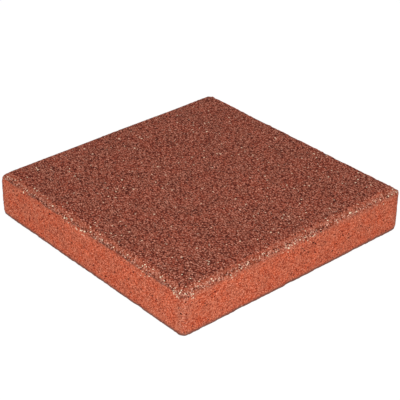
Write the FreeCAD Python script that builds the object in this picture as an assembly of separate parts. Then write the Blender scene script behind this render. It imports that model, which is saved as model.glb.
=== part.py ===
import FreeCAD, Part
import os

# A square stepping stone of dry-cast concrete, one solid, in millimetres, +Z up.
# The origin is at the centre of the bedding face, the face that lies on the ground.
# The sides run along X and Y.

# Overall sizes.
side_length = 305.0        # each side of the square plan
thickness = 51.0           # from the bedding face up to the tread face

# Upright corners, rounded as the mould's own corners are.
corner_radius = 6.0

# Bevel round the tread face, pressed by the lid of the mould.
bevel_width = 7.0          # measured level, from the land in to the tread face
bevel_drop = 5.5           # measured straight down from the tread face
bevel_land = 1.0           # narrow level ledge between the side face and the foot of the bevel
tread_corner_radius = 5.0  # plan rounding of the tread face's corners

# Softened edges.
tread_edge_radius = 4.0    # where the bevel turns into the tread face
bedding_edge_radius = 1.2  # where the sides turn into the bedding face

NODE = "stepping_stone"
SAME_HEIGHT = 1e-6         # two heights closer than this are the same height
UP = FreeCAD.Vector(0, 0, 1)
CENTRE = FreeCAD.Vector(0, 0, 0)


def rounded_square(length, radius, height):
    """The edges of a level square with rounded corners, centred on the Z axis: a side, a corner, and so on round."""
    half = length / 2
    straight = half - radius
    side = Part.makeLine(FreeCAD.Vector(half, -straight, height), FreeCAD.Vector(half, straight, height))
    corner = Part.makeCircle(radius, FreeCAD.Vector(straight, straight, height), UP, 0, 90)
    edges = []
    for quarter in range(4):
        for edge in (side, corner):
            turned = edge.copy()
            turned.rotate(CENTRE, UP, 90 * quarter)
            edges.append(turned)
    return edges


def sloping_face(low, high):
    """The face between an edge of a lower outline and the matching edge of a higher one."""
    if isinstance(low.Curve, Part.Line):
        corners = [low.firstVertex(), low.lastVertex(), high.lastVertex(), high.firstVertex(), low.firstVertex()]
        return Part.Face(Part.makePolygon([corner.Point for corner in corners]))
    return Part.makeRuledSurface(low, high)


def edges_at(shape, height):
    """The edges of a shape that lie wholly at one height."""
    return [
        edge
        for edge in shape.Edges
        if abs(edge.BoundBox.ZMin - height) < SAME_HEIGHT and abs(edge.BoundBox.ZMax - height) < SAME_HEIGHT
    ]


def make_body():
    """The slab up to the foot of the bevel, with its upright sides and its eased lower edge."""
    outline = Part.Face(Part.Wire(rounded_square(side_length, corner_radius, 0)))
    body = outline.extrude(UP * (thickness - bevel_drop))
    return body.makeFillet(bedding_edge_radius, edges_at(body, 0))


def make_crown():
    """The top of the slab, from the foot of the bevel up to the tread face, with its softened edge."""
    foot_length = side_length - 2 * bevel_land
    tread_length = foot_length - 2 * bevel_width
    foot = rounded_square(foot_length, corner_radius - bevel_land, thickness - bevel_drop)
    tread = rounded_square(tread_length, tread_corner_radius, thickness)
    faces = [sloping_face(low, high) for low, high in zip(foot, tread)]
    faces.append(Part.Face(Part.Wire(foot)))
    faces.append(Part.Face(Part.Wire(tread)))
    crown = Part.makeSolid(Part.makeShell(faces))
    return crown.makeFillet(tread_edge_radius, edges_at(crown, thickness))


def make_stepping_stone():
    """The whole casting, as one solid."""
    stone = make_body().fuse(make_crown())
    return stone.Solids[0]


os.makedirs("parts", exist_ok=True)
make_stepping_stone().exportStep(os.path.join("parts", NODE + ".step"))
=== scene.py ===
"""Looks of a square stepping stone of red dry-cast concrete.

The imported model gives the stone's place and overall size. This script builds the casting again as one closed
mesh with its sandy relief, pits, lip and crumbled edges, dresses it, and sets a plain studio round it.
Lengths are in metres, in the model's own frame: the bedding face is at z = 0 and the sides run along X and Y.
"""

import logging
import math
from dataclasses import dataclass
from enum import Enum

import bpy
import numpy as np
from mathutils import Matrix, Vector, noise


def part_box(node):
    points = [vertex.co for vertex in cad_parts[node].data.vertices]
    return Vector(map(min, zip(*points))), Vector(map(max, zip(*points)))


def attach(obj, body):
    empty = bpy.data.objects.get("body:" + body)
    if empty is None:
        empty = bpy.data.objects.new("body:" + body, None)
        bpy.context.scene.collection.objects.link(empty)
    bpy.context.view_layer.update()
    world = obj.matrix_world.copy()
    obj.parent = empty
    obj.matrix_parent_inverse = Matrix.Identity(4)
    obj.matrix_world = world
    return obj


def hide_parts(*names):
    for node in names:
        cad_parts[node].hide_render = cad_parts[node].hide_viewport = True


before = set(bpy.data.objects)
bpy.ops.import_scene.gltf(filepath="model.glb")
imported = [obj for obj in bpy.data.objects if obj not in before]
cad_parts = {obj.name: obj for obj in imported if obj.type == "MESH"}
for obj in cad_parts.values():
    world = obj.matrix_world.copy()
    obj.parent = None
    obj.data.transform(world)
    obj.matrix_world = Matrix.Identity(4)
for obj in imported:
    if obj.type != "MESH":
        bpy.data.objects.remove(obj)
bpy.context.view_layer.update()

NODE = "stepping_stone"
BODY = "root"
MM = 0.001
SAME_HEIGHT = 0.05 * MM
COARSE_ROWS = (0.6, 0.5, 0.4)
COARSE_SCATTER = 0.7

log = logging.getLogger("stepping_stone")

Colour = tuple[float, float, float, float]
WHITE: Colour = (1.0, 1.0, 1.0, 1.0)


def paint(red: int, green: int, blue: int) -> Colour:
    """Give a linear colour for a paint-chart colour.

    Args:
        red: Red share, 0 to 255.
        green: Green share, 0 to 255.
        blue: Blue share, 0 to 255.

    Returns:
        The linear colour with full alpha.
    """
    shares = (value / 255 for value in (red, green, blue))
    linear = [s / 12.92 if s <= 0.04045 else ((s + 0.055) / 1.055) ** 2.4 for s in shares]
    return (linear[0], linear[1], linear[2], 1.0)


def smooth_step(values: np.ndarray, low: float, high: float) -> np.ndarray:
    """Ease values from 0 at low to 1 at high.

    Args:
        values: The values to ease.
        low: The value that gives 0.
        high: The value that gives 1.

    Returns:
        The eased values.
    """
    share = np.clip((values - low) / (high - low), 0.0, 1.0)
    return share * share * (3.0 - 2.0 * share)


# ----------------------------------------------------------------------------------------------------------------
# Relief: uneven heights over the stone's surface
# ----------------------------------------------------------------------------------------------------------------


@dataclass(frozen=True)
class Swell:
    """Smooth uneven relief of one size.

    Attributes:
        size: Distance between neighbouring rises.
        height: Half the height between a rise and a hollow.
        place: Shift of the pattern, so that two layers differ.
    """

    size: float
    height: float
    place: float = 0.0

    def heights(self, points: np.ndarray) -> np.ndarray:
        """Give the relief's height at each point.

        Args:
            points: Places on the stone, one row each.

        Returns:
            One height for each place.
        """
        spots = points / self.size + self.place
        return self.height * np.array([noise.noise(Vector(spot)) for spot in spots])


@dataclass(frozen=True)
class Pits:
    """Small round air holes, scattered unevenly.

    Attributes:
        spacing: Distance between the places where a pit may be.
        width: Width of the widest pit.
        depth: Depth of the deepest pit.
        share: Share of the places that hold a pit.
        place: Shift of the pattern.
    """

    spacing: float
    width: float
    depth: float
    share: float
    place: float = 0.0

    def heights(self, points: np.ndarray) -> np.ndarray:
        """Give how far each point is sunk by a pit.

        Args:
            points: Places on the stone, one row each.

        Returns:
            One height for each place, zero outside the pits and negative in them.
        """
        sunk = np.zeros(len(points))
        reach = self.width / self.spacing / 2
        for index, spot in enumerate(points / self.spacing + self.place):
            distances, centres = noise.voronoi(Vector(spot))
            chance = noise.cell(centres[0] * 7.31)
            if chance < self.share:
                size = reach * (0.45 + 0.55 * chance / self.share)
                sunk[index] = -self.depth * max(0.0, 1.0 - (distances[0] / size) ** 2)
        return sunk


# ----------------------------------------------------------------------------------------------------------------
# The casting
# ----------------------------------------------------------------------------------------------------------------


@dataclass
class Casting:
    """The whole stone as one closed mesh, from its section carried round the rounded square.

    Attributes:
        low: Lowest corner of the stone's box.
        high: Highest corner of the stone's box.
        corner_radius: Plan rounding of the upright corners.
        tread_corner_radius: Plan rounding of the tread face's corners.
        bevel_width: Level width of the bevel.
        bevel_drop: Height of the bevel.
        bevel_land: Level ledge at the foot of the bevel.
        tread_edge_radius: Rounding where the bevel meets the tread face.
        bedding_edge_radius: Rounding of the lower edge.
        cells: Mesh cells along each side of the tread face.
        bed_step: How many edge cells meet one cell of the bedding face.
        side_step: Height of a mesh cell on the upright sides.
    """

    low: Vector
    high: Vector
    corner_radius: float = 6.0 * MM
    tread_corner_radius: float = 5.0 * MM
    bevel_width: float = 7.0 * MM
    bevel_drop: float = 5.5 * MM
    bevel_land: float = 1.0 * MM
    tread_edge_radius: float = 4.0 * MM
    bedding_edge_radius: float = 1.2 * MM
    cells: int = 224
    bed_step: int = 4
    side_step: float = 1.5 * MM

    def __post_init__(self) -> None:
        """Work out the sizes that follow from the box."""
        self.side = self.high.x - self.low.x
        self.thickness = self.high.z - self.low.z
        self.foot = self.thickness - self.bevel_drop

    def outline(self, inset: float, radius: float, height: float, cells: int) -> np.ndarray:
        """Give one level loop round the stone.

        Args:
            inset: Level distance in from the side faces.
            radius: Plan rounding of the loop's corners.
            height: Height of the loop.
            cells: Cells along each side.

        Returns:
            The loop's points, counter-clockwise from the middle of the corner at low X and low Y.
        """
        half = self.side / 2 - inset
        straight = half - radius
        quarter_arc = radius * math.pi / 4
        length = 2 * (quarter_arc + straight)
        along = np.arange(cells) / cells * length
        first, last = along < quarter_arc, along > length - quarter_arc
        turn = np.where(first, along / radius - math.pi / 4, 0.0)
        turn = np.where(last, (along - length + quarter_arc) / radius, turn)
        run = np.clip(along - quarter_arc, 0.0, 2 * straight) - straight
        x = run + radius * np.sin(turn)
        y = -straight - radius * np.cos(turn)
        sides = []
        for quarter in range(4):
            c, s = round(math.cos(quarter * math.pi / 2)), round(math.sin(quarter * math.pi / 2))
            sides.append(np.column_stack((c * x - s * y, s * x + c * y, np.full(cells, height))))
        return np.concatenate(sides)

    def section(self) -> list[tuple[float, float, float]]:
        """Give the stone's section as steps up its side and over its bevel.

        Returns:
            Inset, plan radius and height of each loop, from the bedding face up to the tread face.
        """
        steps: list[tuple[float, float, float]] = []
        edge = self.bedding_edge_radius
        for turn in (0.0, 30.0, 60.0):
            angle = math.radians(turn)
            inset = edge * (1 - math.sin(angle))
            steps.append((inset, self.corner_radius - inset, edge * (1 - math.cos(angle))))
        rows = round((self.foot - edge) / self.side_step)
        for row in range(rows):
            steps.append((0.0, self.corner_radius, edge + (self.foot - edge) * row / rows))
        foot_radius = self.corner_radius - self.bevel_land
        for share in (0.0, 0.35, 0.7):
            steps.append((self.bevel_land * share, self.corner_radius - self.bevel_land * share, self.foot))
        slope = math.atan2(self.bevel_drop, self.bevel_width)
        tangent = self.tread_edge_radius * math.tan(slope / 2)
        flat_part = self.bevel_width - tangent * math.cos(slope)
        bevel_rows = 7
        for row in range(bevel_rows):
            level = flat_part * row / bevel_rows
            share = level / self.bevel_width
            radius = foot_radius + (self.tread_corner_radius - foot_radius) * share
            steps.append((self.bevel_land + level, radius, self.foot + self.bevel_drop * share))
        for share in (0.0, 0.5, 1.0):
            angle = slope * (1 - share)
            inset = self.bevel_land + self.bevel_width + tangent - self.tread_edge_radius * math.sin(angle)
            drop = self.tread_edge_radius * (1 - math.cos(angle))
            steps.append((inset, self.tread_corner_radius, self.thickness - drop))
        return steps

    @staticmethod
    def patch(loop: np.ndarray) -> np.ndarray:
        """Fill a four-sided loop with a grid of points.

        Args:
            loop: The loop's points, the same number on each of its four sides.

        Returns:
            The grid's points, square, with the loop as its border.
        """
        n = len(loop) // 4
        near, right, far, left = (np.take(loop, range(i * n, i * n + n + 1), axis=0, mode="wrap") for i in range(4))
        far, left = far[::-1], left[::-1]
        u = (np.arange(n + 1) / n)[:, None, None]
        v = (np.arange(n + 1) / n)[None, :, None]
        between = (1 - v) * near[:, None] + v * far[:, None] + (1 - u) * left[None] + u * right[None]
        corners = (1 - u) * (1 - v) * near[0] + u * (1 - v) * near[n] + (1 - u) * v * far[0] + u * v * far[n]
        return between - corners

    @staticmethod
    def grid_numbers(cells: int, loop_start: int, inner_start: int) -> np.ndarray:
        """Number a grid's points, its border taken from a loop that is there already.

        Args:
            cells: Cells along each side of the grid.
            loop_start: Number of the loop's first point.
            inner_start: Number of the first point inside the border.

        Returns:
            The point numbers, by place along the first and second side.
        """
        numbers = np.empty((cells + 1, cells + 1), int)
        run = np.arange(cells)
        numbers[run, 0] = loop_start + run
        numbers[cells, run] = loop_start + cells + run
        numbers[cells - run, cells] = loop_start + 2 * cells + run
        numbers[0, cells - run] = loop_start + 3 * cells + run
        inner = inner_start + np.arange((cells - 1) ** 2)
        numbers[1:-1, 1:-1] = inner.reshape(cells - 1, cells - 1)
        return numbers

    @staticmethod
    def grid_faces(numbers: np.ndarray, upward: bool) -> list[list[int]]:
        """Give the four-cornered faces of a numbered grid.

        Args:
            numbers: The grid's point numbers.
            upward: Whether the faces look up.

        Returns:
            The corner numbers of each face.
        """
        a, b, c, d = numbers[:-1, :-1], numbers[1:, :-1], numbers[1:, 1:], numbers[:-1, 1:]
        order = (a, b, c, d) if upward else (a, d, c, b)
        return np.stack([corner.ravel() for corner in order], axis=1).tolist()

    def build(self) -> bpy.types.Object:
        """Make the plain casting, before its relief.

        Returns:
            The mesh object, closed, with its faces outward.
        """
        ring = 4 * self.cells
        steps = self.section()
        loops = [self.outline(*step, self.cells) for step in steps]
        count = ring * len(loops)
        faces: list[list[int]] = []
        around = np.arange(ring)
        following = (around + 1) % ring
        for row in range(len(loops) - 1):
            below, above = row * ring, (row + 1) * ring
            quads = np.stack((below + around, below + following, above + following, above + around), axis=1)
            faces += quads.tolist()
        top = self.patch(loops[-1])
        faces += self.grid_faces(self.grid_numbers(self.cells, count - ring, count), True)
        points = loops + [top[1:-1, 1:-1].reshape(-1, 3)]
        count += (self.cells - 1) ** 2

        bed_cells = self.cells // self.bed_step
        bed_loop = self.outline(2.5 * self.bedding_edge_radius, self.corner_radius / 2, 0.0, bed_cells)
        points.append(bed_loop)
        bed_start = count
        count += len(bed_loop)
        step = self.bed_step
        for cell in range(len(bed_loop)):
            inner, inner_next = bed_start + cell, bed_start + (cell + 1) % len(bed_loop)
            outer = [(cell * step + k) % ring for k in range(step + 1)]
            middle = step // 2
            faces += [[outer[k + 1], outer[k], inner] for k in range(middle)]
            faces.append([outer[middle], inner, inner_next])
            faces += [[outer[k + 1], outer[k], inner_next] for k in range(middle, step)]
        bed = self.patch(bed_loop)
        points.append(bed[1:-1, 1:-1].reshape(-1, 3))
        faces += self.grid_faces(self.grid_numbers(bed_cells, bed_start, count), False)

        mesh = bpy.data.meshes.new("cast_stone")
        mesh.from_pydata(np.concatenate(points).tolist(), [], faces)
        mesh.validate()
        return bpy.data.objects.new("cast_stone", mesh)


class Side(Enum):
    """The four upright sides, each named and given by the way it faces."""

    NEAR = (0.0, -1.0)
    RIGHT = (1.0, 0.0)
    FAR = (0.0, 1.0)
    LEFT = (-1.0, 0.0)

    def spot(self, along: float, half: float) -> np.ndarray:
        """Give a place on the side in plan.

        Args:
            along: How far along the side, from 0 at its left end to 1 at its right, seen from outside.
            half: Half the stone's side.

        Returns:
            The place along X and Y.
        """
        facing_x, facing_y = self.value
        travel = 2 * along - 1
        return half * np.array((facing_x - travel * facing_y, facing_y + travel * facing_x))


class Arris(Enum):
    """The two level edges that wear."""

    UPPER = "round the foot of the bevel"
    LOWER = "round the bedding face"


@dataclass(frozen=True)
class WornStretch:
    """A stretch of edge where the concrete has crumbled and grains lie bare.

    Attributes:
        side: The side that it is on.
        along: How far along the side, from 0 to 1.
        reach: How far the crumbling spreads along the edge.
        depth: How deep it goes.
        bare: Share of bare pale grains in the middle of the stretch.
        arris: Which edge it is on.
        spread: How far the crumbling spreads up and down from the edge.
    """

    side: Side
    along: float
    reach: float
    depth: float
    bare: float
    arris: Arris = Arris.UPPER
    spread: float = 3.5 * MM


@dataclass(frozen=True)
class BySide:
    """A strength that differs from side to side, from 0 to 1.

    Attributes:
        near: Strength on the near side.
        right: Strength on the right side.
        far: Strength on the far side.
        left: Strength on the left side.
        blend: How far in from a side its strength still tells.
    """

    near: float
    right: float
    far: float
    left: float
    blend: float = 12 * MM

    def shares(self, points: np.ndarray, half: float) -> np.ndarray:
        """Give the strength at each point, the greater of the two where sides meet.

        Args:
            points: Places on the stone, one row each.
            half: Half the stone's side.

        Returns:
            One strength for each place.
        """
        sides = ((Side.NEAR, self.near), (Side.RIGHT, self.right), (Side.FAR, self.far), (Side.LEFT, self.left))
        shares = np.zeros(len(points))
        for side, strength in sides:
            outward = points[:, :2] @ np.array(side.value)
            shares = np.maximum(shares, strength * smooth_step(outward, half - self.blend, half - 0.2 * self.blend))
        return shares


@dataclass(frozen=True)
class LidLine:
    """The thin lip and groove that the mould's lid leaves at the foot of the bevel.

    Attributes:
        lip_height: Height of the lip at its proudest.
        lip_width: Level width of the lip.
        groove_depth: Depth of the groove behind the lip.
        groove_width: Level width of the groove.
        break_size: Distance between breaks in the lip.
        plainness: How plain the line is on each side.
    """

    lip_height: float = 0.5 * MM
    lip_width: float = 0.5 * MM
    groove_depth: float = 0.8 * MM
    groove_width: float = 1.25 * MM
    break_size: float = 16 * MM
    plainness: BySide = BySide(near=1.0, right=0.12, far=0.7, left=0.5, blend=7 * MM)

    def strengths(self, points: np.ndarray, half: float) -> np.ndarray:
        """Give how plain the line is at each point, from 0 to 1.

        Args:
            points: Places on the stone, one row each.
            half: Half the stone's side.

        Returns:
            One strength for each place.
        """
        whole = smooth_step(Swell(self.break_size, 1.0, 7.7).heights(points), -0.45, -0.05)
        return self.plainness.shares(points, half) * whole

    def groove_share(self, zones: "Zones") -> np.ndarray:
        """Give how much of the groove's full depth each point has, from 0 to 1.

        Args:
            zones: Where each point lies on the stone.

        Returns:
            One share for each place.
        """
        above_foot = zones.height > zones.foot - SAME_HEIGHT
        inner = self.lip_width + self.groove_width
        behind = smooth_step(zones.inset, self.lip_width, 1.6 * self.lip_width)
        return above_foot * behind * (1 - smooth_step(zones.inset, 0.85 * inner, 1.3 * inner))

    def heights(self, zones: "Zones", strengths: np.ndarray) -> np.ndarray:
        """Give how far the lip rises and the groove sinks at each point.

        Args:
            zones: Where each point lies on the stone.
            strengths: How plain the line is at each point.

        Returns:
            One height for each place.
        """
        at_foot = np.abs(zones.height - zones.foot) < SAME_HEIGHT
        lip = 1 - smooth_step(zones.inset, 0.3 * self.lip_width, 1.2 * self.lip_width)
        return strengths * (at_foot * self.lip_height * lip - self.groove_depth * self.groove_share(zones))


class Zones:
    """Where each point of the plain casting lies on the stone."""

    def __init__(self, casting: Casting, points: np.ndarray, mottle: np.ndarray) -> None:
        """Work out the places from the casting's sizes.

        Args:
            casting: The casting.
            points: The mesh's points, one row each.
            mottle: Uneven values from about -1 to 1, which make the borders ragged.
        """
        c = casting
        half = c.side / 2
        out = np.abs(points[:, :2])
        self.foot = c.foot
        self.inset = half - out.max(axis=1)
        self.corner = half - out.min(axis=1)
        self.height = points[:, 2]
        self.on_bed = self.height < 1e-6
        crown = smooth_step(self.height + 0.5 * MM * mottle, c.foot - 0.3 * MM, c.foot + 0.7 * MM)
        tread_line = c.bevel_land + c.bevel_width
        inward = self.inset + 1.6 * MM * mottle
        self.tread = crown * smooth_step(inward, 0.35 * tread_line, tread_line + 1.5 * MM)
        self.bevel = crown * (1 - self.tread)
        self.upper_edge = 1 - smooth_step(np.hypot(self.inset, self.height - c.foot), 0.8 * MM, 6.0 * MM)
        self.upright_edge = (1 - smooth_step(np.hypot(self.inset, self.corner), 4 * MM, 11 * MM)) * (1 - crown)
        self.lower_edge = 1 - smooth_step(np.hypot(self.inset, self.height), 1.0 * MM, 4.0 * MM)
        beyond = np.maximum(out - (half - c.corner_radius), 0.0) * np.sign(points[:, :2])
        self.outward = beyond / np.maximum(np.hypot(*beyond.T), 1e-9)[:, None]

    def edge_directions(self, normals: np.ndarray) -> np.ndarray:
        """Turn the normals near the upper edge to one shared slant, so that wear there never folds the mesh.

        Args:
            normals: The mesh's own normals, one row each.

        Returns:
            The directions in which the surface is moved.
        """
        slant = np.column_stack((self.outward, np.ones(len(normals)))) / math.sqrt(2)
        near_foot = 1 - smooth_step(np.hypot(self.inset, self.height - self.foot), 1.2 * MM, 6.0 * MM)
        turned = normals * (1 - near_foot)[:, None] + slant * near_foot[:, None]
        return turned / np.linalg.norm(turned, axis=1)[:, None]


@dataclass
class StoneRelief:
    """Carries the relief of a dry-cast stone onto the plain casting.

    Attributes:
        casting: The casting's sizes.
        tread: Layers of the open sandy tread face.
        mould_face: Layers of the upright sides, which the mould smoothed.
        crumble: Layers of the crumbly edges.
        bedding: Relief of the bedding face.
        bedding_lift: How far the bedding face stands clear of the ground between its high spots.
        settle: How far the edges lie back, so that their crumbs stay in line with the sides.
        lid_line: The lip and groove at the foot of the bevel.
        groove_painted_shade: How strongly painted shade darkens the groove, standing in for the shade in that recess.
        border: Unevenness of the borders between skins.
        rubbed_bevel: How far the bevel is rubbed bare of its dark skin on each side.
        rubbed_side: How far the bevel's rubbed skin runs on down the top of each side.
        worn: Where the edges have lost grains.
        open_patches: Where the sides are coarse and full of holes; their depth is that of the holes.
    """

    casting: Casting
    tread: tuple[Swell | Pits, ...] = (
        Swell(90 * MM, 0.4 * MM),
        Swell(9 * MM, 0.06 * MM, 3.7),
        Swell(1.37 * MM, 0.22 * MM, 5.3),
        Pits(7.0 * MM, 3.4 * MM, 0.8 * MM, 0.25),
    )
    mould_face: tuple[Swell | Pits, ...] = (
        Swell(70 * MM, 0.25 * MM, 1.3),
        Swell(7 * MM, 0.10 * MM, 5.9),
        Swell(1.6 * MM, 0.16 * MM, 2.2),
        Pits(8 * MM, 3.6 * MM, 0.8 * MM, 0.16, 4.4),
    )
    crumble: tuple[Swell | Pits, ...] = (
        Swell(11 * MM, 0.22 * MM, 6.6),
        Swell(3.1 * MM, 0.55 * MM, 9.4),
        Swell(1.5 * MM, 0.45 * MM, 4.9),
    )
    bedding: Swell = Swell(1.8 * MM, 0.15 * MM, 2.9)
    bedding_lift: float = 0.10 * MM
    settle: float = 0.15 * MM
    lid_line: LidLine = LidLine()
    # Painted shade in the lid line's groove.
    groove_painted_shade: float = 0.55
    border: Swell = Swell(5.0 * MM, 1.5, 3.3)
    rubbed_bevel: BySide = BySide(near=1.0, right=1.0, far=0.4, left=0.4, blend=14 * MM)
    rubbed_side: BySide = BySide(near=0.12, right=0.5, far=0.2, left=0.2, blend=14 * MM)
    worn: tuple[WornStretch, ...] = (
        WornStretch(Side.NEAR, 0.0, 6 * MM, 1.8 * MM, 0.2, spread=4 * MM),
        WornStretch(Side.NEAR, 0.16, 7 * MM, 0.28 * MM, 0.08),
        WornStretch(Side.NEAR, 0.40, 8 * MM, 0.63 * MM, 0.18),
        WornStretch(Side.NEAR, 0.48, 9 * MM, 0.56 * MM, 0.26),
        WornStretch(Side.NEAR, 0.80, 6 * MM, 0.35 * MM, 0.13),
        WornStretch(Side.NEAR, 0.97, 6 * MM, 0.63 * MM, 0.28),
        WornStretch(Side.RIGHT, 0.03, 6 * MM, 0.63 * MM, 0.18),
        WornStretch(Side.RIGHT, 0.23, 9 * MM, 0.42 * MM, 0.09),
        WornStretch(Side.RIGHT, 0.44, 10 * MM, 0.63 * MM, 0.18),
        WornStretch(Side.RIGHT, 0.55, 7 * MM, 0.42 * MM, 0.14),
        WornStretch(Side.RIGHT, 0.67, 7 * MM, 0.35 * MM, 0.11),
        WornStretch(Side.RIGHT, 0.93, 8 * MM, 0.49 * MM, 0.14),
        WornStretch(Side.FAR, 0.30, 8 * MM, 0.56 * MM, 0.16),
        WornStretch(Side.FAR, 0.72, 10 * MM, 0.42 * MM, 0.14),
        WornStretch(Side.LEFT, 0.38, 9 * MM, 0.49 * MM, 0.16),
        WornStretch(Side.LEFT, 0.86, 7 * MM, 0.49 * MM, 0.14),
        WornStretch(Side.NEAR, 0.0, 9 * MM, 0.9 * MM, 0.1, Arris.LOWER),
        WornStretch(Side.NEAR, 0.78, 4 * MM, 0.9 * MM, 0.1, Arris.LOWER),
        WornStretch(Side.RIGHT, 0.24, 4 * MM, 1.1 * MM, 0.1, Arris.LOWER),
        WornStretch(Side.RIGHT, 0.46, 4 * MM, 1.1 * MM, 0.1, Arris.LOWER),
        WornStretch(Side.FAR, 0.0, 6 * MM, 1.3 * MM, 0.1, Arris.LOWER),
        WornStretch(Side.FAR, 0.6, 5 * MM, 1.0 * MM, 0.1, Arris.LOWER),
        WornStretch(Side.LEFT, 0.3, 5 * MM, 1.0 * MM, 0.1, Arris.LOWER),
    )
    open_patches: tuple[WornStretch, ...] = (
        WornStretch(Side.RIGHT, 0.55, 30 * MM, 0.25 * MM, 0.0, spread=30 * MM),
        WornStretch(Side.NEAR, 0.12, 16 * MM, 0.2 * MM, 0.0, spread=24 * MM),
        WornStretch(Side.FAR, 0.42, 26 * MM, 0.2 * MM, 0.0, spread=28 * MM),
        WornStretch(Side.LEFT, 0.65, 22 * MM, 0.2 * MM, 0.0, spread=26 * MM),
    )

    def total(self, layers: tuple[Swell | Pits, ...], points: np.ndarray) -> np.ndarray:
        """Add up the heights of several layers at each point."""
        return sum(layer.heights(points) for layer in layers)

    def shares(self, stretch: WornStretch, points: np.ndarray, zones: Zones) -> np.ndarray:
        """Give how much one worn stretch tells at each point.

        Args:
            stretch: The worn stretch.
            points: Places on the stone, one row each.
            zones: Where each point lies on the stone.

        Returns:
            One share for each place, from 0 to 1.
        """
        middle = stretch.side.spot(stretch.along, self.casting.side / 2)
        away = np.hypot(*(points[:, :2] - middle).T) / stretch.reach
        level = self.casting.foot if stretch.arris is Arris.UPPER else 0.0
        off_edge = np.hypot(zones.inset, zones.height - level) / stretch.spread
        return np.exp(-(away**2) - off_edge**2)

    def apply(self, stone: bpy.types.Object) -> None:
        """Shape the casting's mesh and store the shares that its finish reads.

        Args:
            stone: The plain casting.
        """
        mesh = stone.data
        points = np.empty(len(mesh.vertices) * 3, np.float32)
        mesh.vertices.foreach_get("co", points)
        points = points.reshape(-1, 3).astype(float)
        normals = np.empty(len(mesh.vertices) * 3, np.float32)
        mesh.vertex_normals.foreach_get("vector", normals)
        normals = normals.reshape(-1, 3)
        zones = Zones(self.casting, points, self.border.heights(points))

        crumble = self.total(self.crumble, points)
        crown = zones.tread + zones.bevel
        rubbed = zones.bevel * self.rubbed_bevel.shares(points, self.casting.side / 2)
        run_down = (1 - crown) * zones.upper_edge * self.rubbed_side.shares(points, self.casting.side / 2)
        rough_face = np.clip(sum(self.shares(patch, points, zones) for patch in self.open_patches), 0, 1) * (1 - crown)
        worn_depth = np.zeros(len(points))
        bare = np.zeros(len(points))
        for stretch in self.worn:
            share = self.shares(stretch, points, zones)
            worn_depth = np.maximum(worn_depth, share * stretch.depth)
            bare = np.maximum(bare, share * stretch.bare)

        lift = self.total(self.tread, points) * crown + self.total(self.mould_face, points) * (1 - crown)
        edge = np.clip(0.55 * zones.upper_edge + 0.45 * zones.upright_edge + 0.5 * zones.lower_edge, 0, 1)
        lift += edge * (crumble - self.settle)
        lift += rough_face * np.minimum(crumble, 0) * 0.5
        lift -= worn_depth * (1 + crumble / MM)
        lift = np.where(zones.on_bed, 0.0, lift)
        moved = points + zones.edge_directions(normals) * lift[:, None]
        line = self.lid_line.strengths(points, self.casting.side / 2) * np.clip(1 - worn_depth / (0.5 * MM), 0, 1)
        moved[:, 2] += self.lid_line.heights(zones, line)
        moved[zones.on_bed, 2] = self.bedding_lift + self.bedding.heights(points[zones.on_bed])
        moved[:, 2] = np.maximum(moved[:, 2], 0.0)
        mesh.vertices.foreach_set("co", moved.astype(np.float32).ravel())

        stored = {
            "tread_share": crown - rubbed,
            "bevel_share": np.clip(rubbed + run_down + 0.35 * zones.upright_edge, 0, 1),
            "bare_share": np.clip(0.75 * bare + 0.02 * zones.bevel + 0.004 * zones.tread, 0, 1),
            "open_share": rough_face,
            # Painted shade: darker towards the bedding edge as a stand-in for the contact shadow, and darker in the lid
            # line's groove as a stand-in for its shade.
            "painted_shade_share": np.maximum(
                1 - smooth_step(zones.height + 0.6 * crumble, 1.6 * MM, 4.9 * MM), self.groove_painted_shade * line * self.lid_line.groove_share(zones)
            ),
        }
        for name, values in stored.items():
            attribute = mesh.attributes.new(name, "FLOAT", "POINT")
            attribute.data.foreach_set("value", values.astype(np.float32))
        mesh.update()


# ----------------------------------------------------------------------------------------------------------------
# Finishes
# ----------------------------------------------------------------------------------------------------------------


Given = bpy.types.NodeSocket | float | tuple[float, ...] | None


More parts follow.
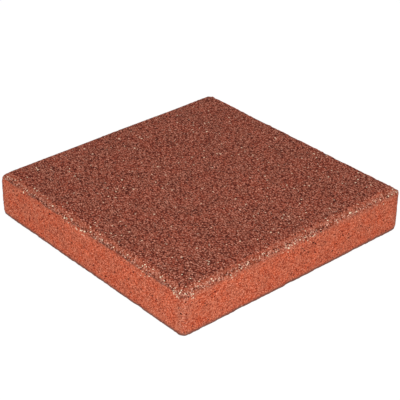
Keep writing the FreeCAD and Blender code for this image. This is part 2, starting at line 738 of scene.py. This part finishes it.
class Board:
    """A short way to place and join shader nodes in one node tree."""

    def __init__(self, tree: bpy.types.NodeTree) -> None:
        """Keep the tree that the nodes go into.

        Args:
            tree: The node tree of a material, group or world.
        """
        self.tree = tree

    def node(self, kind: str, settings: dict | None = None, **inputs: Given) -> bpy.types.Node:
        """Place a node.

        Args:
            kind: The node's type name, without the ShaderNode part.
            settings: The node's own settings by name.
            **inputs: A value or an output socket for each input, by the input's name with _ for a space.

        Returns:
            The node.
        """
        made = self.tree.nodes.new("ShaderNode" + kind)
        for name, value in (settings or {}).items():
            setattr(made, name, value)
        for name, value in inputs.items():
            self.feed(made.inputs[name.replace("_", " ")], value)
        return made

    def feed(self, socket: bpy.types.NodeSocket, value: Given) -> None:
        """Join an output to an input, or set the input's own value."""
        if isinstance(value, bpy.types.NodeSocket):
            self.tree.links.new(value, socket)
        else:
            socket.default_value = value

    def sum(self, operation: str, *values: Given, clamp: bool = False) -> bpy.types.NodeSocket:
        """Work out one number from others.

        Args:
            operation: The math node's operation.
            *values: Numbers or sockets.
            clamp: Whether to hold the result between 0 and 1.

        Returns:
            The result's socket.
        """
        made = self.node("Math", {"operation": operation, "use_clamp": clamp})
        for socket, value in zip(made.inputs, values):
            self.feed(socket, value)
        return made.outputs[0]

    def ramp(self, value: Given, low: float, high: float, start: float = 0.0, end: float = 1.0) -> bpy.types.NodeSocket:
        """Carry a value from one range smoothly to another.

        Args:
            value: The value's socket.
            low: Value that gives start.
            high: Value that gives end.
            start: Result at low.
            end: Result at high.

        Returns:
            The result's socket.
        """
        made = self.node("MapRange", {"interpolation_type": "SMOOTHSTEP"}, Value=value)
        for name, number in (("From Min", low), ("From Max", high), ("To Min", start), ("To Max", end)):
            self.feed(made.inputs[name], number)
        return made.outputs["Result"]

    def mix(self, share: Given, first: Given, second: Given, blend: str = "MIX") -> bpy.types.NodeSocket:
        """Mix two colours.

        Args:
            share: How much of the second shows.
            first: The first colour.
            second: The second colour.
            blend: The way they mix.

        Returns:
            The mixed colour's socket.
        """
        made = self.node("Mix", {"data_type": "RGBA", "blend_type": blend})
        self.feed(made.inputs[0], share)
        self.feed(made.inputs[6], first)
        self.feed(made.inputs[7], second)
        return made.outputs[2]


class Effects:
    """The shader node groups that the finishes share."""

    def __init__(self) -> None:
        """Build each group once."""
        self.sandy_skin = self.build_sandy_skin()
        self.single_grains = self.build_single_grains()

    @staticmethod
    def start_group(name: str, inputs: dict[str, Given], outputs: tuple[str, ...]) -> tuple[Board, dict, bpy.types.Node]:
        """Open a new group with its named sockets.

        Args:
            name: The group's name.
            inputs: Default value of each input: a number, a colour, or None for a place.
            outputs: Names of the outputs; a name that ends in Colour is a colour.

        Returns:
            A board on the group's tree, its input sockets by name, and its output node.
        """
        tree = bpy.data.node_groups.new(name, "ShaderNodeTree")
        for socket, value in inputs.items():
            kind = "Vector" if value is None else "Color" if isinstance(value, tuple) else "Float"
            made = tree.interface.new_socket(socket, in_out="INPUT", socket_type="NodeSocket" + kind)
            if value is not None:
                made.default_value = value
        for socket in outputs:
            kind = "NodeSocketColor" if socket.endswith("Colour") else "NodeSocketFloat"
            tree.interface.new_socket(socket, in_out="OUTPUT", socket_type=kind)
        entry = tree.nodes.new("NodeGroupInput")
        leave = tree.nodes.new("NodeGroupOutput")
        return Board(tree), {socket.name: socket for socket in entry.outputs if socket.name}, leave

    @staticmethod
    def packed_grains(board: Board, given: dict) -> tuple[bpy.types.NodeSocket, bpy.types.Node]:
        """Divide the surface into irregular grains.

        Args:
            board: The group's board.
            given: The group's inputs, with Place and Grain Size.

        Returns:
            The socket of a number from 0 to 1 for each grain, and the node that has the distance from its middle.
        """
        per_metre = board.sum("DIVIDE", 1.0, given["Grain Size"])
        shift = board.sum("MULTIPLY", given["Grain Size"], 0.4)
        bend = board.node("TexNoise", Vector=given["Place"], Scale=board.sum("MULTIPLY", per_metre, 1.3), Detail=1.0)
        bent = board.node("VectorMath", {"operation": "MULTIPLY_ADD"})
        board.feed(bent.inputs[0], bend.outputs["Color"])
        board.feed(bent.inputs[1], board.node("CombineXYZ", X=shift, Y=shift, Z=shift).outputs[0])
        board.feed(bent.inputs[2], given["Place"])
        grains = board.node("TexVoronoi", Vector=bent.outputs[0], Scale=per_metre)
        chance = board.node("SeparateColor", Color=grains.outputs["Color"])
        return chance.outputs[0], grains

    @staticmethod
    def coarse_sand(board: Board, given: dict) -> bpy.types.NodeSocket:
        """Lay out the coarse sand, turned so that no face of the stone runs along its rows.

        Args:
            board: The group's board.
            given: The group's inputs, with Place and Coarse Size.

        Returns:
            The socket of the distance from the nearest coarse grain's middle, as a share of their spacing.
        """
        turned = board.node("Mapping", Vector=given["Place"], Rotation=COARSE_ROWS)
        per_metre = board.sum("DIVIDE", 1.0, given["Coarse Size"])
        grains = board.node("TexVoronoi", Vector=turned.outputs[0], Scale=per_metre, Randomness=COARSE_SCATTER)
        return grains.outputs["Distance"]

    @staticmethod
    def outermost(board: Board, tone: bpy.types.NodeSocket, share: bpy.types.NodeSocket) -> bpy.types.NodeSocket:
        """Pick out the grains with the lowest numbers, with soft limits.

        Args:
            board: The group's board.
            tone: A number from 0 to 1 for each grain.
            share: Share of the grains to pick.

        Returns:
            The socket that is 1 on the picked grains and 0 on the others.
        """
        limit = board.sum("MULTIPLY", share, 1.5)
        return board.sum("DIVIDE", board.sum("SUBTRACT", limit, tone), share, clamp=True)

    def build_sandy_skin(self) -> bpy.types.NodeTree:
        """Build the group for a skin of pigmented cement and packed sand.

        Returns:
            The group. Colour is the skin's colour, and Height is the relief of its grains.
        """
        grey = (0.2, 0.2, 0.2, 1.0)
        names = {
            "Place": None, "Grain Size": 0.8 * MM, "Coarse Size": 2.4 * MM, "Patch Size": 20 * MM,
            "Low Share": 0.2, "High Share": 0.1, "Gaps": 0.8, "Tops": 0.5, "Cement": grey, "Patch Cement": grey, "Low Grain": grey, "High Grain": grey,
        }
        board, given, leave = self.start_group("sandy_skin", names, ("Skin Colour", "Height"))
        tone, grains = self.packed_grains(board, given)
        cloud = board.node(
            "TexNoise", Vector=given["Place"], Scale=board.sum("DIVIDE", 1.0, given["Patch Size"]), Detail=3.0
        )
        patches = board.ramp(cloud.outputs["Fac"], 0.35, 0.65)
        body = board.mix(patches, given["Cement"], given["Patch Cement"])
        from_middle = self.coarse_sand(board, given)
        # The gaps between the coarse grains are darkened partly as darker cement and partly as painted shade in the
        # crevices; their tops are paled partly as paler sand and partly as painted highlight.
        gaps = board.sum("MULTIPLY", board.ramp(from_middle, 0.5, 0.7), given["Gaps"])
        tops = board.sum("MULTIPLY", board.ramp(from_middle, 0.15, 0.4, 1.0, 0.0), given["Tops"])
        low = board.sum("MAXIMUM", self.outermost(board, tone, given["Low Share"]), gaps)
        upper_tone = board.sum("SUBTRACT", 1.0, tone)
        high = board.sum("MAXIMUM", self.outermost(board, upper_tone, given["High Share"]), tops)
        colour = board.mix(high, board.mix(low, body, given["Low Grain"]), given["High Grain"])
        dome = board.sum("SUBTRACT", 1.0, grains.outputs["Distance"])
        board.feed(leave.inputs["Skin Colour"], colour)
        stand = board.sum("MULTIPLY", board.sum("SUBTRACT", high, low), 0.5)
        board.feed(leave.inputs["Height"], board.sum("ADD", dome, stand))
        return board.tree

    def build_single_grains(self) -> bpy.types.NodeTree:
        """Build the group that picks out single grains or holes.

        Returns:
            The group. Picked is 1 on the grains that it picks.
        """
        names = {"Place": None, "Grain Size": 0.002, "Share": 0.1}
        board, given, leave = self.start_group("single_grains", names, ("Picked",))
        tone, _ = self.packed_grains(board, given)
        board.feed(leave.inputs["Picked"], board.sum("GREATER_THAN", given["Share"], tone))
        return board.tree

    @staticmethod
    def place(board: Board, group: bpy.types.NodeTree, **inputs: Given) -> bpy.types.Node:
        """Place a shared group in a material.

        Args:
            board: The material's board.
            group: The shared group.
            **inputs: The group's inputs, with _ for a space.

        Returns:
            The group's node.
        """
        made = board.node("Group", {"node_tree": group})
        for name, value in inputs.items():
            board.feed(made.inputs[name.replace("_", " ")], value)
        return made


@dataclass(frozen=True)
class SandySkin:
    """How one kind of face of the stone looks.

    Attributes:
        cement: Main colour of the pigmented cement and sand.
        patch_cement: Colour of its uneven patches.
        low_grain: Colour of the darkest grains and gaps; in the gaps it is partly painted shade.
        high_grain: Colour of the palest grains and of the coarse grains' tops, where it is partly painted highlight.
        grain_size: Size of the fine grains.
        coarse_size: Distance between the coarse grains.
        patch_size: Size of the uneven patches.
        low_share: Share of the fine grains that are dark.
        high_share: Share of the fine grains that are pale.
        gaps: How dark the gaps between the coarse grains are, partly darker cement and partly painted shade in the
            crevices.
        tops: How pale the tops of the coarse grains are, partly paler sand and partly painted highlight.
    """

    cement: Colour
    patch_cement: Colour
    low_grain: Colour
    high_grain: Colour
    grain_size: float
    coarse_size: float
    patch_size: float
    low_share: float
    high_share: float
    gaps: float
    tops: float

    def place(self, board: Board, effects: Effects, place: bpy.types.NodeSocket) -> bpy.types.Node:
        """Place the skin in a material.

        Args:
            board: The material's board.
            effects: The shared groups.
            place: The coordinates that place the pattern.

        Returns:
            The skin's node.
        """
        return effects.place(
            board, effects.sandy_skin, Place=place, Grain_Size=self.grain_size, Coarse_Size=self.coarse_size,
            Patch_Size=self.patch_size, Low_Share=self.low_share, High_Share=self.high_share, Gaps=self.gaps,
            Tops=self.tops, Cement=self.cement, Patch_Cement=self.patch_cement, Low_Grain=self.low_grain,
            High_Grain=self.high_grain,
        )


@dataclass(frozen=True)
class RedConcrete:
    """The finish of the whole casting.

    Attributes:
        tread: Skin of the tread face, darker and browner than the sides partly in its own tone and partly as painted
            shade of a top that gets less light.
        bevel: Skin of the bevel and of rubbed edges.
        mould_face: Skin of the upright sides and the bedding face.
        bare_grain: Colour of grains that have lost their cement.
        bare_grain_size: Size of those grains.
        painted_hole_shade: Colour of the painted shade inside the open holes in the sides and the tread face; the holes
            themselves are only sunk in the bump.
        hole_size: Size of those holes.
        hole_share: Share of holes where the side is sound.
        open_hole_share: Share of holes that the coarse patches add.
        tread_hole_share: Share of holes that the open tread face adds.
        painted_shade: Colour of the painted shade along the bedding edge and in the lid line's groove, which stands in
            for the contact shadow at the foot and the shade in the groove.
        painted_shade_cover: How much of the skin that painted shade hides there.
        roughness: Roughness of the dry surface.
        specular: Strength of its dull shine.
        grain_relief: Height of the grains.
        relief_strength: How plainly that height shows.
    """

    # The tread skin is darker and browner than the mould face's partly because the open tamped face has its own darker
    # tone, and partly as painted shade: the lamps light the top about as much as the sides, and this colour darkens it
    # as if it were lit less, with the shade of its pits taken in.
    tread: SandySkin = SandySkin(
        cement=paint(157, 74, 54),
        patch_cement=paint(149, 77, 58),
        low_grain=paint(54, 0, 0),
        high_grain=paint(242, 174, 148),
        grain_size=0.75 * MM,
        coarse_size=2.3 * MM,
        patch_size=26 * MM,
        low_share=0.17,
        high_share=0.04,
        gaps=0.8,
        tops=0.42,
    )
    bevel: SandySkin = SandySkin(
        cement=paint(158, 84, 63),
        patch_cement=paint(170, 86, 61),
        low_grain=paint(56, 6, 2),
        high_grain=paint(238, 180, 156),
        grain_size=0.9 * MM,
        coarse_size=2.4 * MM,
        patch_size=12 * MM,
        low_share=0.18,
        high_share=0.12,
        gaps=0.7,
        tops=0.5,
    )
    mould_face: SandySkin = SandySkin(
        cement=paint(208, 98, 65),
        patch_cement=paint(201, 107, 77),
        low_grain=paint(116, 20, 6),
        high_grain=paint(244, 156, 126),
        grain_size=0.75 * MM,
        coarse_size=2.2 * MM,
        patch_size=14 * MM,
        low_share=0.18,
        high_share=0.08,
        gaps=0.5,
        tops=0.38,
    )
    bare_grain: Colour = paint(240, 214, 184)
    bare_grain_size: float = 1.3 * MM
    # Painted shade: the holes are dark only from the shade inside them.
    painted_hole_shade: Colour = paint(74, 24, 16)
    hole_size: float = 1.6 * MM
    hole_share: float = 0.012
    open_hole_share: float = 0.06
    tread_hole_share: float = 0.012
    # Painted shade colour along the bedding edge and in the groove.
    painted_shade: Colour = paint(114, 78, 68)
    painted_shade_cover: float = 0.9
    roughness: float = 0.92
    specular: float = 0.12
    grain_relief: float = 0.35 * MM
    relief_strength: float = 0.5

    def material(self, effects: Effects) -> bpy.types.Material:
        """Build the material.

        Args:
            effects: The shared groups.

        Returns:
            The material.
        """
        made = bpy.data.materials.new("red_dry_cast_concrete")
        made.use_nodes = True
        board = Board(made.node_tree)
        shader = made.node_tree.nodes["Principled BSDF"]
        place = board.node("TexCoord").outputs["Object"]
        shares = {
            name: board.node("Attribute", {"attribute_name": name}).outputs["Fac"]
            for name in ("tread_share", "bevel_share", "bare_share", "open_share", "painted_shade_share")
        }
        face, bevel, tread = (skin.place(board, effects, place) for skin in (self.mould_face, self.bevel, self.tread))
        hole_chance = board.sum("MULTIPLY_ADD", shares["open_share"], self.open_hole_share, self.hole_share)
        hole_chance = board.sum("MULTIPLY_ADD", shares["tread_share"], self.tread_hole_share, hole_chance)
        holes = effects.place(
            board, effects.single_grains, Place=place, Grain_Size=self.hole_size, Share=hole_chance
        )
        bare = effects.place(
            board, effects.single_grains, Place=place, Grain_Size=self.bare_grain_size, Share=shares["bare_share"]
        )
        colour = board.mix(shares["bevel_share"], face.outputs["Skin Colour"], bevel.outputs["Skin Colour"])
        colour = board.mix(shares["tread_share"], colour, tread.outputs["Skin Colour"])
        # Painted shade inside the open holes.
        colour = board.mix(holes.outputs["Picked"], colour, self.painted_hole_shade)
        colour = board.mix(bare.outputs["Picked"], colour, self.bare_grain)
        # Painted shade along the bedding edge and in the groove.
        colour = board.mix(board.sum("MULTIPLY", shares["painted_shade_share"], self.painted_shade_cover), colour, self.painted_shade)
        board.feed(shader.inputs["Base Color"], colour)
        height = board.node("Mix", {"data_type": "FLOAT"})
        board.feed(height.inputs[0], shares["tread_share"])
        board.feed(height.inputs[2], face.outputs["Height"])
        board.feed(height.inputs[3], tread.outputs["Height"])
        sunk = board.sum("SUBTRACT", height.outputs[0], holes.outputs["Picked"])
        bump = board.node(
            "Bump", Height=sunk, Distance=self.grain_relief, Strength=self.relief_strength
        )
        board.feed(shader.inputs["Normal"], bump.outputs["Normal"])
        shader.inputs["Roughness"].default_value = self.roughness
        shader.inputs["Specular IOR Level"].default_value = self.specular
        return made


# ----------------------------------------------------------------------------------------------------------------
# Studio
# ----------------------------------------------------------------------------------------------------------------


@dataclass(frozen=True)
class Lamp:
    """A soft square lamp aimed at the stone.

    Attributes:
        name: What the lamp does.
        azimuth: Bearing of the lamp from the stone, in degrees; 0 is towards low Y.
        elevation: Height above the floor's level, in degrees.
        distance: Distance from the stone.
        width: Width of the lamp.
        power: Power in watts.
    """

    name: str
    azimuth: float
    elevation: float
    distance: float
    width: float
    power: float


def bearing(azimuth: float, elevation: float) -> Vector:
    """Give the direction from the stone towards a bearing and height, both in degrees."""
    a, e = math.radians(azimuth), math.radians(elevation)
    return Vector((math.sin(a) * math.cos(e), -math.cos(a) * math.cos(e), math.sin(e)))


@dataclass
class Studio:
    """The floor, lamps, sky and camera round the stone.

    Attributes:
        lamps: The soft lamps.
        sky: Brightness of the even light from all round.
        floor_size: Width of the floor.
        floor_drop: How far the floor lies below the stone.
        floor_white: The floor's colour in the light that it throws back.
        floor_seen: How much of the lamps' light shows on the floor itself, which is what keeps the stone's shadow.
        floor_glow: Brightness that shows on the floor besides.
        camera_azimuth: Bearing of the camera, in degrees.
        camera_elevation: Height of the camera, in degrees.
        camera_roll: Tilt of the camera about its own axis, in degrees.
        camera_distance: Distance from the stone.
        camera_right: How far right of the stone's middle the camera aims.
        camera_up: How far above the stone's middle the camera aims.
        lens: Focal length in millimetres.
    """

    lamps: tuple = (
        Lamp("key", 48.0, 36.0, 2.0, 0.9, 29.0),
        Lamp("back_fill", 228.0, 34.0, 2.2, 1.4, 5.0),
    )
    sky: float = 0.44
    floor_size: float = 8.0
    floor_drop: float = 0.1 * MM
    floor_white: Colour = paint(230, 230, 230)
    floor_seen: Colour = paint(112, 112, 112)
    floor_glow: float = 0.89
    camera_azimuth: float = 48.435
    camera_elevation: float = 30.5
    camera_roll: float = 0.51
    camera_distance: float = 1.4296
    camera_right: float = 0.0020
    camera_up: float = 0.0218
    lens: float = 118.2

    def floor(self) -> bpy.types.Object:
        """Lay the plain pale floor.

        Returns:
            The floor.
        """
        half = self.floor_size / 2
        mesh = bpy.data.meshes.new("floor")
        corners = [(-half, -half, 0.0), (half, -half, 0.0), (half, half, 0.0), (-half, half, 0.0)]
        mesh.from_pydata(corners, [], [(0, 1, 2, 3)])
        made = bpy.data.objects.new("floor", mesh)
        made.location.z = -self.floor_drop
        bpy.context.scene.collection.objects.link(made)
        mesh.materials.append(self.floor_material())
        return made

    @staticmethod
    def seen_directly(board: Board) -> bpy.types.NodeSocket:
        """Give 1 where a ray comes from the camera, a reflection or a clear piece, and 0 elsewhere."""
        path = board.node("LightPath")
        seen = board.sum("MAXIMUM", path.outputs["Is Camera Ray"], path.outputs["Is Glossy Ray"])
        return board.sum("MAXIMUM", seen, path.outputs["Is Transmission Ray"])

    def floor_material(self) -> bpy.types.Material:
        """Build the floor's white finish, which keeps a soft shadow.

        Returns:
            The material.
        """
        made = bpy.data.materials.new("white_floor")
        made.use_nodes = True
        board = Board(made.node_tree)
        made.node_tree.nodes.remove(made.node_tree.nodes["Principled BSDF"])
        seen = self.seen_directly(board)
        matt = board.node("BsdfDiffuse", Color=board.mix(seen, self.floor_white, self.floor_seen))
        glow = board.node("Emission", Color=WHITE, Strength=board.sum("MULTIPLY", seen, self.floor_glow))
        both = board.node("AddShader")
        board.feed(both.inputs[0], matt.outputs[0])
        board.feed(both.inputs[1], glow.outputs[0])
        board.feed(made.node_tree.nodes["Material Output"].inputs["Surface"], both.outputs[0])
        return made

    def world(self) -> None:
        """Light the scene evenly from all round, and show white behind it."""
        world = bpy.data.worlds.new("studio")
        world.use_nodes = True
        board = Board(world.node_tree)
        seen = self.seen_directly(board)
        strength = board.ramp(seen, 0.0, 1.0, self.sky, 1.0)
        board.feed(world.node_tree.nodes["Background"].inputs["Strength"], strength)
        world.node_tree.nodes["Background"].inputs["Color"].default_value = WHITE
        bpy.context.scene.world = world

    def hang_lamps(self) -> None:
        """Hang each lamp and aim it at the stone."""
        for lamp in self.lamps:
            data = bpy.data.lights.new(lamp.name, "AREA")
            data.shape = "SQUARE"
            data.size = lamp.width
            data.energy = lamp.power
            made = bpy.data.objects.new(lamp.name, data)
            back = bearing(lamp.azimuth, lamp.elevation)
            made.location = back * lamp.distance
            made.rotation_mode = "QUATERNION"
            made.rotation_quaternion = (-back).to_track_quat("-Z", "Y")
            bpy.context.scene.collection.objects.link(made)

    def camera(self) -> None:
        """Set the camera and make it the scene's own."""
        data = bpy.data.cameras.new("camera")
        data.lens = self.lens
        data.sensor_width = 36.0
        made = bpy.data.objects.new("camera", data)
        back = bearing(self.camera_azimuth, self.camera_elevation)
        turn = (-back).to_track_quat("-Z", "Y").to_matrix() @ Matrix.Rotation(math.radians(self.camera_roll), 3, "Z")
        aim = turn.col[0] * self.camera_right + turn.col[1] * self.camera_up
        made.matrix_world = Matrix.Translation(aim + back * self.camera_distance) @ turn.to_4x4()
        bpy.context.scene.collection.objects.link(made)
        bpy.context.scene.camera = made

    def build(self) -> None:
        """Set up the whole studio."""
        self.floor()
        self.world()
        self.hang_lamps()
        self.camera()
        bpy.context.scene.view_settings.view_transform = "Standard"


def report(piece: bpy.types.Object) -> None:
    """Report a finished piece."""
    triangles = sum(len(face.vertices) - 2 for face in piece.data.polygons)
    log.info("%s: %d triangles", piece.name, triangles)


def main() -> None:
    """Build the stone and its studio in order."""
    logging.basicConfig(level=logging.INFO, format="%(name)s: %(message)s")
    low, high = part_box(NODE)
    casting = Casting(low, high)
    stone = casting.build()
    bpy.context.scene.collection.objects.link(stone)
    StoneRelief(casting).apply(stone)
    stone.data.shade_smooth()
    stone.data.materials.append(RedConcrete().material(Effects()))
    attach(stone, BODY)
    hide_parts(NODE)
    report(stone)
    Studio().build()


if __name__ == "__main__":
    main()
